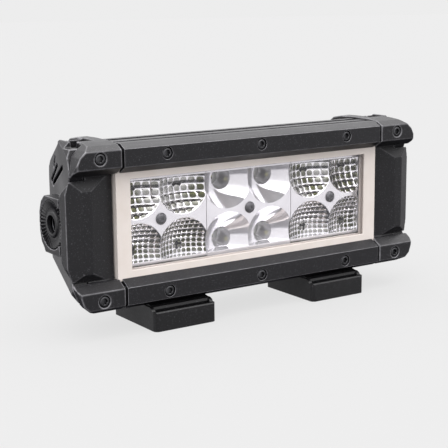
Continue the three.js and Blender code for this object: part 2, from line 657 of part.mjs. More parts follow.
/** Slot nut that the foot bolt pulls against the lips of the slot. */
function footNut() {
  const halfWidth = SLOT.half - GAP;
  const plate = box([-8, 8], [SLOT.y - halfWidth, SLOT.y + halfWidth], [SLOT.lip + GAP, SLOT.floor - GAP]);
  return cut(plate, [roundZ(0, SLOT.y, BOLT_RADIUS + GAP, -40, -30)]);
}

/** Bolt up through the foot into the slot nut, with its head sunk in the underside. */
function footBolt() {
  const headBottom = -AXIS_HEIGHT + 1.2;
  const headTop = -AXIS_HEIGHT + 6.3;
  const tip = SLOT.floor - GAP;
  const profile = [
    [0, headBottom], [BOLT_HEAD_RADIUS - 0.2, headBottom], [BOLT_HEAD_RADIUS, headBottom + 0.4],
    [BOLT_HEAD_RADIUS, headTop], [BOLT_RADIUS, headTop], [BOLT_RADIUS, tip], [0, tip],
  ];
  const body = lathed(profile, 16).rotateX(Math.PI / 2).translate(0, SLOT.y, 0);
  return cut(body, [roundZ(0, SLOT.y, 2.9, -60, headBottom + 3, 6)]);
}

// ---------------------------------------------------------------- assembly

const bar = new THREE.Group();

function place(name, geometry, material, x = 0, y = 0, z = 0) {
  const mesh = new THREE.Mesh(geometry, material);
  mesh.name = name;
  mesh.position.set(x, y, z);
  bar.add(mesh);
}

function placePair(name, geometry, material) {
  place(`right_${name}`, geometry, material);
  place(`left_${name}`, mirrored(geometry), material);
}

place('heatsink_housing', heatsinkHousing(), MATERIALS.powderCoat);
place('upper_bezel_rail', bezelRail(1), MATERIALS.powderCoat);
place('lower_bezel_rail', bezelRail(-1), MATERIALS.powderCoat);
placePair('end_cap', endCap(), MATERIALS.castBlack);
placePair('end_plate', endPlate(), MATERIALS.castBlack);
placePair('end_gasket', endGasket(), MATERIALS.rubber);
placePair('mount_disc', mountDisc(), MATERIALS.castBlack);
placePair('mount_bush', mountBush(), MATERIALS.steel);

place('lens_seal', lensSeal(), MATERIALS.seal);
place('lens', lens(), MATERIALS.lens);
place('led_board', ledBoard(), MATERIALS.board);
place('driver_board', driverBoard(), MATERIALS.component);
place('cable_gland', cableGland(), MATERIALS.rubber);
place('breather_vent', breatherVent(), MATERIALS.rubber);

['left', 'centre', 'right'].forEach((side, column) => {
  const x = REFLECTOR_CENTRES[column];
  place(`reflector_${side}`, reflectorModule(column - 1), MATERIALS.chrome, x);
  place(`reflector_screw_${side}`, reflectorScrew(), MATERIALS.steel, x);
  [-1, 1].forEach((i, half) => {
    const number = column * 2 + half + 1;
    place(`led_upper_${number}`, ledEmitter(), MATERIALS.emitter, x + i * CUP_PITCH_X / 2, 0, CUP_Z);
    place(`led_lower_${number}`, ledEmitter(), MATERIALS.emitter, x + i * CUP_PITCH_X / 2, 0, -CUP_Z);
  });
});

const endScrew = reflectorScrew(END_SCREW_SINK).translate(END_SCREW_X, 0, 0);
placePair('reflector_end_screw', endScrew, MATERIALS.steel);

['upper', 'lower'].forEach((row, r) => {
  const z = r ? -SCREW_Z : SCREW_Z;
  RAIL_SCREWS_X.forEach((x, i) => {
    place(`${row}_rail_screw_${i + 1}`, frontScrew(12.6), MATERIALS.screwBlack, x, 0, z);
  });
  place(`${row}_left_cap_screw`, frontScrew(14), MATERIALS.screwBlack, -CAP_SCREW_X, 0, z);
  place(`${row}_right_cap_screw`, frontScrew(14), MATERIALS.screwBlack, CAP_SCREW_X, 0, z);
});

[['left', -FOOT_X], ['right', FOOT_X]].forEach(([side, x]) => {
  place(`${side}_foot`, foot(), MATERIALS.footBlack, x);
  place(`${side}_foot_nut`, footNut(), MATERIALS.steel, x);
  place(`${side}_foot_bolt`, footBolt(), MATERIALS.steel, x);
});

bar.position.set(0, -FRONT_TO_ORIGIN, AXIS_HEIGHT);
const lamp = new THREE.Group();
lamp.add(bar);

export default lamp;
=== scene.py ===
"""Looks for a short double-row LED light bar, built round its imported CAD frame.

Metres. +X runs along the bar, -Y is its front and +Z is up. Every place is worked out from the
frame's nodes: a detailed piece stands where its CAD node is, and rides on the same body.
"""
import json
import math

import bmesh
import bpy
from mathutils import Matrix, Vector

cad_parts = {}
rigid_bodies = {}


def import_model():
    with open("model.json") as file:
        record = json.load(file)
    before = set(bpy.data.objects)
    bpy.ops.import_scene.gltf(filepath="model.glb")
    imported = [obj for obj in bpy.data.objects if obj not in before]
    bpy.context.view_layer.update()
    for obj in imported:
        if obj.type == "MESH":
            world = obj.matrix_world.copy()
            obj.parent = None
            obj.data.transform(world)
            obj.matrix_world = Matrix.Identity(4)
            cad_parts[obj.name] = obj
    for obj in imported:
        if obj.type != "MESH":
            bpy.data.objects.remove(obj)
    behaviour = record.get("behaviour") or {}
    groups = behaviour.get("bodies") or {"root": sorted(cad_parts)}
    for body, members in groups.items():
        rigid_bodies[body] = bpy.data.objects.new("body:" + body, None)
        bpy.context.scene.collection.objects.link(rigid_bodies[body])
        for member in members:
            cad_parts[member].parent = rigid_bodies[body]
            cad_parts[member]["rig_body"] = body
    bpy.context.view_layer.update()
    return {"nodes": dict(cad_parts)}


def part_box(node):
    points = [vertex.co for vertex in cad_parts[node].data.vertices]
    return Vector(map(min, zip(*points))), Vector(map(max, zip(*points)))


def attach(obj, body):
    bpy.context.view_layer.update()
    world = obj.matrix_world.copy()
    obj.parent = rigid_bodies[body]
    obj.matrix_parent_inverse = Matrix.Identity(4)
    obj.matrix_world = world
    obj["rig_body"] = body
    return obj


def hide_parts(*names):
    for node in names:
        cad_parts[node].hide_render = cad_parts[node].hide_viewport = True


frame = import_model()

MM = 0.001
SHARP_ANGLE = math.radians(33)


# ---------------------------------------------------------------- camera, light and floor

def make_camera():
    """A long lens in front of the bar's left end, a little above it."""
    azimuth, elevation, roll = (math.radians(angle) for angle in (-33.76, 11.19, -0.54))
    back = Vector((
        math.sin(azimuth) * math.cos(elevation),
        -math.cos(azimuth) * math.cos(elevation),
        math.sin(elevation),
    ))
    right = Vector((math.cos(azimuth), math.sin(azimuth), 0))
    up = back.cross(right)
    rolled_right = math.cos(roll) * right + math.sin(roll) * up
    rolled_up = math.cos(roll) * up - math.sin(roll) * right
    camera = bpy.data.objects.new("camera", bpy.data.cameras.new("camera"))
    camera.data.lens = 90.63
    camera.data.sensor_width = 36
    camera.data.clip_start = 0.01
    matrix = Matrix((rolled_right, rolled_up, back)).transposed().to_4x4()
    matrix.translation = (-0.3182, -0.4661, 0.1517)
    camera.matrix_world = matrix
    bpy.context.scene.collection.objects.link(camera)
    bpy.context.scene.camera = camera


def make_world():
    """A white studio down to about 20 degrees below the horizon, dim under it, brightest overhead."""
    world = bpy.data.worlds.new("studio")
    bpy.context.scene.world = world
    world.use_nodes = True
    tree = world.node_tree
    tree.nodes.clear()
    coordinates = tree.nodes.new("ShaderNodeTexCoord")
    split = tree.nodes.new("ShaderNodeSeparateXYZ")
    tree.links.new(coordinates.outputs["Generated"], split.inputs[0])
    ramp = tree.nodes.new("ShaderNodeValToRGB")
    height = tree.nodes.new("ShaderNodeMapRange")
    height.inputs["From Min"].default_value = -1
    height.inputs["From Max"].default_value = 1
    tree.links.new(split.outputs["Z"], height.inputs["Value"])
    tree.links.new(height.outputs["Result"], ramp.inputs["Fac"])
    # each stop's place is from 0, straight down, to 1, straight up
    stops = [
        (0.0, (0.02, 0.02, 0.025)), (0.31, (0.09, 0.09, 0.105)), (0.36, (0.86, 0.85, 0.87)),
        (0.65, (1.0, 1.0, 1.01)), (0.82, (2.5, 2.48, 2.5)), (1.0, (5.4, 5.35, 5.4)),
    ]
    while len(ramp.color_ramp.elements) < len(stops):
        ramp.color_ramp.elements.new(0.5)
    for element, (position, colour) in zip(ramp.color_ramp.elements, stops):
        element.position = position
        element.color = (*colour, 1)
    lighting = tree.nodes.new("ShaderNodeBackground")
    tree.links.new(ramp.outputs["Color"], lighting.inputs["Color"])
    backdrop = tree.nodes.new("ShaderNodeBackground")
    backdrop.inputs["Color"].default_value = (0.845, 0.845, 0.845, 1)
    path = tree.nodes.new("ShaderNodeLightPath")
    choose = tree.nodes.new("ShaderNodeMixShader")
    tree.links.new(path.outputs["Is Camera Ray"], choose.inputs["Fac"])
    tree.links.new(lighting.outputs[0], choose.inputs[1])
    tree.links.new(backdrop.outputs[0], choose.inputs[2])
    output = tree.nodes.new("ShaderNodeOutputWorld")
    tree.links.new(choose.outputs[0], output.inputs["Surface"])


def make_soft_box(name, place, size, power, mirrored=True):
    """A large soft light aimed at the bar; it may be left out of reflections."""
    light = bpy.data.lights.new(name, "AREA")
    light.shape = "RECTANGLE"
    light.size, light.size_y = size
    light.energy = power
    obj = bpy.data.objects.new(name, light)
    obj.location = place
    obj.rotation_euler = (Vector((0, 0, 0.05)) - Vector(place)).to_track_quat("-Z", "Y").to_euler()
    obj.visible_glossy = mirrored
    bpy.context.scene.collection.objects.link(obj)


def make_floor():
    """A pale floor that takes the bar's shadow; it stays out of reflections and bounced light."""
    half = 8.0
    gap = 0.2 * MM
    bm = bmesh.new()
    bmesh.ops.create_grid(bm, x_segments=8, y_segments=8, size=half)
    mesh = bpy.data.meshes.new("floor")
    bm.to_mesh(mesh)
    bm.free()
    floor = bpy.data.objects.new("floor", mesh)
    floor.location = (0, 0, -gap)
    bpy.context.scene.collection.objects.link(floor)
    finish = Finish("floor_paper", (0.05, 0.05, 0.05), roughness=0.9)
    finish.shader.inputs["Specular IOR Level"].default_value = 0.0
    finish.shader.inputs["Emission Color"].default_value = (1, 1, 1, 1)
    finish.shader.inputs["Emission Strength"].default_value = 0.70
    mesh.materials.append(finish.material)
    floor.visible_glossy = False
    floor.visible_diffuse = False


# ---------------------------------------------------------------- finishes

class Finish:
    """A material with one Principled shader, and short calls that add nodes to it."""

    def __init__(self, name, colour, roughness=0.5, metallic=0.0):
        self.material = bpy.data.materials.new(name)
        self.material.use_nodes = True
        self.tree = self.material.node_tree
        self.shader = self.tree.nodes["Principled BSDF"]
        self.shader.inputs["Base Color"].default_value = (*colour, 1)
        self.shader.inputs["Roughness"].default_value = roughness
        self.shader.inputs["Metallic"].default_value = metallic
        self.place = self.add("ShaderNodeTexCoord").outputs["Object"]

    def add(self, kind, values=None, **settings):
        node = self.tree.nodes.new(kind)
        for key, value in settings.items():
            setattr(node, key, value)
        for key, value in (values or {}).items():
            if isinstance(value, bpy.types.NodeSocket):
                self.tree.links.new(value, node.inputs[key])
            else:
                node.inputs[key].default_value = value
        return node

    def drive(self, socket, source):
        self.tree.links.new(source, self.shader.inputs[socket])

    def noise(self, grain, detail=2.0):
        """Noise whose features are about as wide as grain, in metres."""
        values = {"Vector": self.place, "Scale": 1 / grain, "Detail": detail}
        return self.add("ShaderNodeTexNoise", values).outputs["Fac"]

    def spread(self, value, low, high, to_low=0.0, to_high=1.0):
        values = {"Value": value, "From Min": low, "From Max": high, "To Min": to_low, "To Max": to_high}
        return self.add("ShaderNodeMapRange", values).outputs["Result"]

    def multiply(self, first, second):
        node = self.add("ShaderNodeMath", {0: first, 1: second}, operation="MULTIPLY")
        return node.outputs[0]

    def mix(self, factor, first, second):
        node = self.add("ShaderNodeMix", {0: factor}, data_type="RGBA")
        for index, colour in ((6, first), (7, second)):
            if isinstance(colour, bpy.types.NodeSocket):
                self.tree.links.new(colour, node.inputs[index])
            else:
                node.inputs[index].default_value = (*colour, 1)
        return node.outputs[2]

    def relief(self, height, depth, strength=1.0):
        values = {"Height": height, "Distance": depth, "Strength": strength}
        self.drive("Normal", self.add("ShaderNodeBump", values).outputs["Normal"])

    def edges(self):
        """1 on the rounded edges of a piece and 0 elsewhere."""
        return self.add("ShaderNodeAttribute", attribute_name="edge").outputs["Fac"]


def powder_coat(name, colour, speck, roughness, grain, depth, edge_highlight):
    """Satin powder coat: fine orange peel, faint pale specks, cloudy tone, and a painted highlight on
    its rounded edges.
    """
    finish = Finish(name, colour, roughness)
    finish.shader.inputs["Specular IOR Level"].default_value = 0.31
    peel = finish.noise(grain)
    cloud = finish.noise(22 * MM, detail=3.0)
    dust = finish.spread(finish.noise(0.55 * MM, detail=1.0), 0.62, 0.74)
    dark = tuple(0.9 * c for c in colour)
    tone = finish.mix(finish.spread(cloud, 0.35, 0.65), dark, colour)
    speckled = finish.mix(finish.multiply(dust, 0.5), tone, speck)
    # painted highlight: the rounded edges take a pale colour, broken up by noise, that stands in for
    # light catching them
    highlight_breakup = finish.spread(finish.noise(4 * MM, detail=4.0), 0.3, 0.7, 0.35, 1.0)
    highlighted_edges = finish.multiply(finish.edges(), highlight_breakup)
    finish.drive("Base Color", finish.mix(highlighted_edges, speckled, edge_highlight))
    finish.drive("Roughness", finish.spread(cloud, 0.3, 0.7, roughness - 0.05, roughness + 0.06))
    finish.relief(peel, depth)
    return finish.material


def satin_metal(name, colour, roughness, scratch):
    """Bare or blacked steel with fine turned marks and uneven sheen."""
    finish = Finish(name, colour, roughness, metallic=1.0)
    cloud = finish.noise(6 * MM, detail=4.0)
    dark = tuple(0.7 * c for c in colour)
    finish.drive("Base Color", finish.mix(finish.spread(cloud, 0.35, 0.65), dark, colour))
    finish.drive("Roughness", finish.spread(cloud, 0.3, 0.7, roughness - 0.06, roughness + 0.1))
    finish.relief(finish.noise(0.25 * MM), scratch)
    return finish.material


def soft_plastic(name, colour, stain, roughness, grain, depth):
    """Rubber, silicone or a moulded part: even colour, faint stains and a dull fine grain."""
    finish = Finish(name, colour, roughness)
    cloud = finish.noise(9 * MM, detail=4.0)
    finish.drive("Base Color", finish.mix(finish.spread(cloud, 0.4, 0.75), colour, stain))
    finish.drive("Roughness", finish.spread(cloud, 0.3, 0.7, roughness - 0.04, roughness + 0.06))
    finish.relief(finish.noise(grain), depth)
    return finish.material


def bright_metal():
    """Vacuum-metallised plastic: a near mirror with a faint haze.

    The collar attribute makes it dull and paints it dark as the shade deep in each throat, satin makes
    it whiter, and pillow paints a dark, yellowish reflection into the middles of the moulded pillows.
    """
    finish = Finish("bright_reflector", (0.9, 0.9, 0.92), 0.05, metallic=1.0)
    haze = finish.noise(7 * MM, detail=3.0)
    silver = finish.mix(finish.spread(haze, 0.3, 0.7), (0.88, 0.875, 0.9), (0.96, 0.955, 0.97))
    collar = finish.add("ShaderNodeAttribute", attribute_name="collar").outputs["Fac"]
    satin = finish.add("ShaderNodeAttribute", attribute_name="satin").outputs["Fac"]
    pillow = finish.add("ShaderNodeAttribute", attribute_name="pillow").outputs["Fac"]
    # painted reflection: the pillows' middles turn dark and yellowish, more in some patches than in
    # others
    reflection_patches = finish.spread(finish.noise(16 * MM, detail=2.0), 0.4, 0.6, 0.6, 1.0)
    dark = finish.multiply(finish.spread(pillow, 0.22, 0.36), reflection_patches)
    painted_reflection_squares = finish.mix(dark, silver, (0.06, 0.064, 0.024))
    # painted shade: the collar in each throat is coloured dark
    finish.drive("Base Color", finish.mix(collar, painted_reflection_squares, (0.045, 0.045, 0.054)))
    mirror = finish.spread(satin, 0.0, 1.0, 1.0, 0.7)
    finish.drive("Metallic", finish.multiply(mirror, finish.spread(collar, 0.0, 1.0, 1.0, 0.0)))
    finish.drive("Roughness", finish.spread(collar, 0.0, 1.0, 0.05, 0.5))
    return finish.material


def clear_lens():
    """Clear hard-coated window: light passes, and a little is mirrored at a shallow angle."""
    finish = Finish("clear_lens", (1, 1, 1), 0.02)
    tree = finish.tree
    through = finish.add("ShaderNodeBsdfTransparent", {"Color": (0.985, 0.98, 0.985, 1)})
    gloss = finish.add("ShaderNodeBsdfAnisotropic", {"Color": (1, 1, 1, 1), "Roughness": 0.03})
    facing = finish.add("ShaderNodeLayerWeight", {"Blend": 0.5}).outputs["Facing"]
    steep = finish.add("ShaderNodeMath", {0: facing, 1: 5.0}, operation="POWER").outputs[0]
    mixed = finish.add("ShaderNodeMixShader", {"Fac": finish.spread(steep, 0.0, 1.0, 0.035, 1.0)})
    tree.links.new(through.outputs[0], mixed.inputs[1])
    tree.links.new(gloss.outputs[0], mixed.inputs[2])
    tree.links.new(mixed.outputs[0], tree.nodes["Material Output"].inputs["Surface"])
    tree.nodes.remove(finish.shader)
    return finish.material


def led_phosphor():
    """Yellow phosphor under a clear dome, in the middle of a dark ceramic package."""
    finish = Finish("led_phosphor", (0.75, 0.68, 0.12), 0.25)
    grain = finish.noise(0.4 * MM)
    yellow = finish.mix(finish.spread(grain, 0.35, 0.65), (0.42, 0.4, 0.06), (0.62, 0.6, 0.14))
    lit = finish.add("ShaderNodeAttribute", attribute_name="phosphor").outputs["Fac"]
    finish.drive("Base Color", finish.mix(lit, (0.03, 0.03, 0.035), yellow))
    finish.shader.inputs["Coat Weight"].default_value = 1.0
    finish.shader.inputs["Coat Roughness"].default_value = 0.05
    return finish.material


def circuit_board():
    """White solder mask with copper lanes showing faintly through it."""
    finish = Finish("white_board", (0.8, 0.8, 0.78), 0.35)
    lanes = finish.add("ShaderNodeTexBrick", {"Vector": finish.place, "Scale": 60.0})
    lanes.inputs["Color1"].default_value = (0.82, 0.82, 0.8, 1)
    lanes.inputs["Color2"].default_value = (0.76, 0.77, 0.76, 1)
    lanes.inputs["Mortar"].default_value = (0.62, 0.64, 0.6, 1)
    finish.drive("Base Color", lanes.outputs["Color"])
    return finish.material


def make_finishes():
    """Every finish by its slot; a row's values are in the order of its function's arguments."""
    rail_black = (0.0092, 0.0089, 0.0104)
    cap_black = (0.0088, 0.0085, 0.0098)
    deep_black = (0.0055, 0.0054, 0.006)
    speck = (0.07, 0.07, 0.078)
    # painted highlights for the rounded edges: pale on the powder coat and the castings, faint on the
    # feet
    edge_highlight = (0.19, 0.187, 0.198)
    foot_edge_highlight = (0.03, 0.03, 0.034)
    rubber = (0.012, 0.012, 0.013), (0.02, 0.02, 0.021)
    cream = (0.65, 0.595, 0.555), (0.61, 0.55, 0.505)
    board_green = (0.01, 0.045, 0.02), (0.02, 0.07, 0.03)
    powdered = {
        "powder_coat": (rail_black, speck, 0.38, 0.5 * MM, 0.02 * MM, edge_highlight),
        "cast_black": (cap_black, speck, 0.42, 0.65 * MM, 0.04 * MM, edge_highlight),
        "foot_black": (deep_black, speck, 0.4, 0.6 * MM, 0.03 * MM, foot_edge_highlight),
    }
    metals = {
        "screw_black": ((0.1, 0.1, 0.105), 0.36, 0.01 * MM),
        "steel": ((0.15, 0.15, 0.16), 0.4, 0.01 * MM),
    }
    plastics = {
        "rubber": (*rubber, 0.75, 0.5 * MM, 0.03 * MM),
        "cream_seal": (*cream, 0.5, 0.7 * MM, 0.03 * MM),
        "driver_parts": (*board_green, 0.4, 0.5 * MM, 0.02 * MM),
    }
    finishes = {
        "clear_lens": clear_lens(),
        "bright_reflector": bright_metal(),
        "white_board": circuit_board(),
        "led_phosphor": led_phosphor(),
    }
    for make, looks in ((powder_coat, powdered), (satin_metal, metals), (soft_plastic, plastics)):
        for slot, values in looks.items():
            finishes[slot] = make(slot, *values)
    return finishes


# ---------------------------------------------------------------- pieces

def add_piece(mesh, node, slot, weighted=True):
    """Puts a finished mesh in the scene, in place of its CAD node and on that node's body."""
    mesh.materials.clear()
    mesh.materials.append(FINISHES[slot])
    for polygon in mesh.polygons:
        polygon.use_smooth = True
    piece = bpy.data.objects.new(node + "_detail", mesh)
    bpy.context.scene.collection.objects.link(piece)
    if weighted:
        normals = piece.modifiers.new("flat faces", "WEIGHTED_NORMAL")
        normals.keep_sharp = True
    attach(piece, frame["nodes"][node]["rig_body"])
    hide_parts(node)
    return piece


def mesh_from(bm, name):
    mesh = bpy.data.meshes.new(name)
    bm.to_mesh(mesh)
    bm.free()
    return mesh


def finish_piece(bm, node, slot, weighted=True):
    return add_piece(mesh_from(bm, node + "_detail"), node, slot, weighted)


def clean_copy(node, merge=0.004 * MM):
    """A CAD node's mesh with its triangles joined back into whole faces."""
    bm = bmesh.new()
    bm.from_mesh(frame["nodes"][node].data)
    bmesh.ops.remove_doubles(bm, verts=bm.verts, dist=merge)
    bmesh.ops.dissolve_limit(bm, angle_limit=math.radians(1), verts=bm.verts, edges=bm.edges)
    return bm


def round_edges(bm, width, segments=2):
    """Rounds every sharp edge, and marks the new faces in the edge attribute."""
    sharp = [edge for edge in bm.edges if edge.is_manifold and edge.calc_face_angle() > SHARP_ANGLE]
    bmesh.ops.bevel(
        bm, geom=sharp, offset=width, segments=segments, profile=0.5, affect="EDGES",
        clamp_overlap=True, material=1)
    layer = bm.loops.layers.float_color.new("edge")
    for face in bm.faces:
        rounded = float(face.material_index == 1)
        face.material_index = 0
        for loop in face.loops:
            loop[layer] = (rounded, rounded, rounded, 1)


def machined(node, slot, width=0.3 * MM):
    """The CAD node's own shape with small rounded edges."""
    bm = clean_copy(node)
    round_edges(bm, width)
    return finish_piece(bm, node, slot)


def cast(node, slot, voxel=0.36 * MM, passes=3):
    """The CAD node's own shape with the soft edges of a die casting."""
    rough = mesh_from(clean_copy(node), node + "_rough")
    source = bpy.data.objects.new(node + "_rough", rough)
    bpy.context.scene.collection.objects.link(source)
    remesh = source.modifiers.new("even skin", "REMESH")
    remesh.mode = "VOXEL"
    remesh.voxel_size = voxel
    smooth = source.modifiers.new("soft edges", "SMOOTH")
    smooth.factor = 0.5
    smooth.iterations = passes
    view = bpy.context.evaluated_depsgraph_get()
    mesh = bpy.data.meshes.new_from_object(source.evaluated_get(view))
    bpy.data.objects.remove(source)
    mark_convex_edges(mesh, voxel)
    return add_piece(mesh, node, slot, weighted=False)


def mark_convex_edges(mesh, spacing, least=0.03, span=0.09):
    """Writes the edge attribute of an even mesh: 1 where the surface turns outwards sharply.

    A vertex's height over its neighbours, in spacings, counts from least up to least + span.
    """
    bm = bmesh.new()
    bm.from_mesh(mesh)
    layer = bm.verts.layers.float_color.new("edge")
    for vertex in bm.verts:
        around = sum((edge.other_vert(vertex).co for edge in vertex.link_edges), Vector())
        middle = around / len(vertex.link_edges)
        height = (vertex.co - middle).dot(vertex.normal) / spacing
        value = min(max((height - least) / span, 0.0), 1.0)
        vertex[layer] = (value, value, value, 1)
    bm.to_mesh(mesh)
    bm.free()


def ring_surface(bm, rings):
    """Joins rings of points into a surface; each ring is a closed list of the same length."""
    loops = [[bm.verts.new(point) for point in ring] for ring in rings]
    count = len(loops[0])
    for inner, outer in zip(loops, loops[1:]):
        for i in range(count):
            j = (i + 1) % count
            bm.faces.new((inner[i], inner[j], outer[j], outer[i]))
    return loops


def turn_outwards(bm):
    """Turns every face of a closed body so that it looks outwards."""
    bmesh.ops.recalc_face_normals(bm, faces=bm.faces)
    if bm.calc_volume(signed=True) < 0:
        bmesh.ops.reverse_faces(bm, faces=bm.faces)


def mark_sharp(bm, angle=SHARP_ANGLE):
    for edge in bm.edges:
        if edge.is_manifold and edge.calc_face_angle() > angle:
            edge.smooth = False


def circle(radius):
    """An outline: a function that gives its distance from the middle at any angle."""
    return lambda angle: radius


def square(half):
    """The outline of a square of twice this width."""
    return lambda angle: half / max(abs(math.cos(angle)), abs(math.sin(angle)))


def hexagon(half):
    """The outline of a hexagon of twice this width across flats."""
    sixth = math.pi / 3
    return lambda angle: half / math.cos((angle % sixth) - sixth / 2)


def ring_about_y(middle, y, steps, outline):
    """Points of an outline round an axis along Y."""
    points = []
    for step in range(steps):
        angle = 2 * math.pi * step / steps
        away = outline(angle)
        points.append((middle.x + away * math.cos(angle), y, middle.z + away * math.sin(angle)))
    return points


def closed_rings(rings):
    """A solid body skinned over a row of rings, with a flat face at each end."""
    bm = bmesh.new()
    loops = ring_surface(bm, rings)
    bm.faces.new(reversed(loops[0]))
    bm.faces.new(loops[-1])
    turn_outwards(bm)
    mark_sharp(bm)
    return bm


def paint(bm, name, value_of):
    """Writes a vertex attribute, with value_of(vertex) from 0 to 1."""
    layer = bm.verts.layers.float_color.new(name)
    for vertex in bm.verts:
        value = float(value_of(vertex))
        vertex[layer] = (value, value, value, 1)


# ---------------------------------------------------------------- front screws

SCREW_STEPS = 48


def front_screw(node):
    """Socket screw seen from the front: rounded head with a turned step and a hexagon socket."""
    low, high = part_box(node)
    middle = (low + high) / 2
    head = (high.x - low.x) / 2
    length = high.y - low.y
    shank = 0.5 * head
    socket = [(0.95 * MM, 1.5 * MM), (1.3 * MM, 1.45 * MM), (1.36 * MM, 0.14 * MM)]
    turned = [
        (1.5 * MM, 0.02 * MM), (1.8 * MM, 0), (head - 0.75 * MM, 0), (head - 0.6 * MM, 0.12 * MM),
        (head - 0.45 * MM, 0.16 * MM), (head - 0.22 * MM, 0.2 * MM), (head, 0.5 * MM),
        (head, 1.6 * MM), (shank, 1.65 * MM), (shank, length - 0.5 * MM),
        (shank - 0.5 * MM, length),
    ]
    rings = []
    for outline, profile in ((hexagon, socket), (circle, turned)):
        for size, depth in profile:
            rings.append(ring_about_y(middle, low.y + depth, SCREW_STEPS, outline(size)))
    return finish_piece(closed_rings(rings), node, "screw_black")


# ---------------------------------------------------------------- toothed discs

TEETH = 36
STEPS_PER_TOOTH = 8
FLANK_CURVE = 1.3                 # power of the teeth's flanks; 1 would make them straight


def mount_disc(side):
    """Dished disc with radial teeth, and a turned collar round its bolt hole.

    A row of the profile is a distance from the axis, a depth behind the face and a tooth's
    height there, in millimetres.
    """
    node = side + "_mount_disc"
    low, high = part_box(node)
    out = 1 if side == "right" else -1
    face = high.x if out > 0 else low.x
    rear = low.x if out > 0 else high.x
    middle = (low + high) / 2
    rim = (high.y - low.y) / 2 / MM
    profile = [
        (4.3, 2.4, 0), (4.3, 1.0, 0), (4.5, 0.8, 0), (5.6, 0.8, 0), (5.9, 1.0, 0), (6.3, 1.55, 0),
        (7.2, 1.5, 0.1), (8.2, 1.15, 0.5), (9.2, 0.85, 0.8), (10.2, 0.6, 0.95), (11.2, 0.35, 1.1),
        (rim - 0.35, 0.15, 1.1), (rim, 0.45, 0.9), (rim, 2.3, 0), (rim - 0.3, 2.6, 0),
    ]
    steps = TEETH * STEPS_PER_TOOTH
    rings = []
    for distance, depth, tooth in profile:
        ring = []
        for step in range(steps):
            angle = 2 * math.pi * step / steps
            share = (step % STEPS_PER_TOOTH) / STEPS_PER_TOOTH
            valley = 1 - abs(2 * share - 1)
            x = face - out * (depth + tooth * valley ** FLANK_CURVE) * MM
            x = min(max(x, low.x), high.x)
            ring.append((
                x,
                middle.y + distance * MM * math.cos(angle),
                middle.z + distance * MM * math.sin(angle),
            ))
        rings.append(ring)
    rings[-1] = [(rear, y, z) for _, y, z in rings[-1]]
    rings[0] = [(rear, y, z) for _, y, z in rings[0]]
    bm = bmesh.new()
    loops = ring_surface(bm, rings)
    for i in range(steps):
        j = (i + 1) % steps
        bm.faces.new((loops[-1][i], loops[-1][j], loops[0][j], loops[0][i]))
    turn_outwards(bm)
    mark_sharp(bm, math.radians(42))
    return finish_piece(bm, node, "cast_black")


# ---------------------------------------------------------------- optics

RIM_RADIUS = 14.2 * MM
THROAT_RADIUS = 5.6 * MM
THROAT_DEPTH = 7.0 * MM           # from the front web back to the dull collar round the LED
COLLAR_STEP = 0.15 * MM           # from the mirror back to the collar's mouth
COLLAR_TAPER = 0.86               # size of the collar's rear end over its mouth
SHELF_OFFSET = 4.6 * MM           # from a cup's middle out to the flat shelf that cuts it off
WINDOW_EDGE = 70.4 * MM           # the outermost cups end in a flat wall at this distance
CUP_RINGS = 34
OUTLINE_STEPS = {"side": 24, "shelf": 56, "rim": 72}
LED_HOLE = 2.8 * MM               # the pillowed cups run down to a hole of this radius
DISH_DEPTH = 6.5 * MM             # from the front web back to that hole
PILLOW_HEIGHT = 0.4 * MM
PILLOW_SINK = 0.6                 # of a pillow's height, so that its edges lie behind the dish
PILLOW_STEPS = {"upper": 12, "lower": 8}   # grid steps in a pillow, so the lower ones are smaller
PILLOWS_PER_CUP = 7               # across an upper cup
RIM_FADE = 1.0 * MM               # the pillows grow to full height over this depth behind the rim
BORDER_FADE = 0.5 * MM            # and over this distance from every other border
PAST_FRONT = 1.0 * MM             # walls run this far through the front plane before it cuts them
TINY = 0.0001 * MM
WELD = 0.003 * MM
ON_PLANE = 0.01 * MM


class Module:
    """Measures of one reflector module of two by two cups, from its CAD node."""

    def __init__(self, side):
        self.node = "reflector_" + side
        self.low, self.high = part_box(self.node)
        self.centre = (self.low + self.high) / 2
        self.front, self.rear = self.low.y, self.high.y
        self.cup_x = (self.high.x - self.low.x) / 4
        led_low, led_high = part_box("led_upper_1")
        self.cup_z = (led_low.z + led_high.z) / 2 - self.centre.z


def cup_outline(left, right, shelf):
    """Points round a cup, from its middle: side, shelf, side and the round rim."""
    def rim_height(u):
        return -math.sqrt(RIM_RADIUS ** 2 - u ** 2)

    def line(start, end, count):
        return [start.lerp(end, i / count) for i in range(count)]

    left_foot = Vector((left, rim_height(left)))
    right_foot = Vector((right, rim_height(right)))
    points = line(left_foot, Vector((left, shelf)), OUTLINE_STEPS["side"])
    points += line(Vector((left, shelf)), Vector((right, shelf)), OUTLINE_STEPS["shelf"])
    points += line(Vector((right, shelf)), right_foot, OUTLINE_STEPS["side"])
    start = math.atan2(right_foot.y, right_foot.x)
    end = math.atan2(left_foot.y, left_foot.x)
    for i in range(OUTLINE_STEPS["rim"]):
        angle = start + (end - start) * i / OUTLINE_STEPS["rim"]
        points.append(Vector((RIM_RADIUS * math.cos(angle), RIM_RADIUS * math.sin(angle))))
    return points


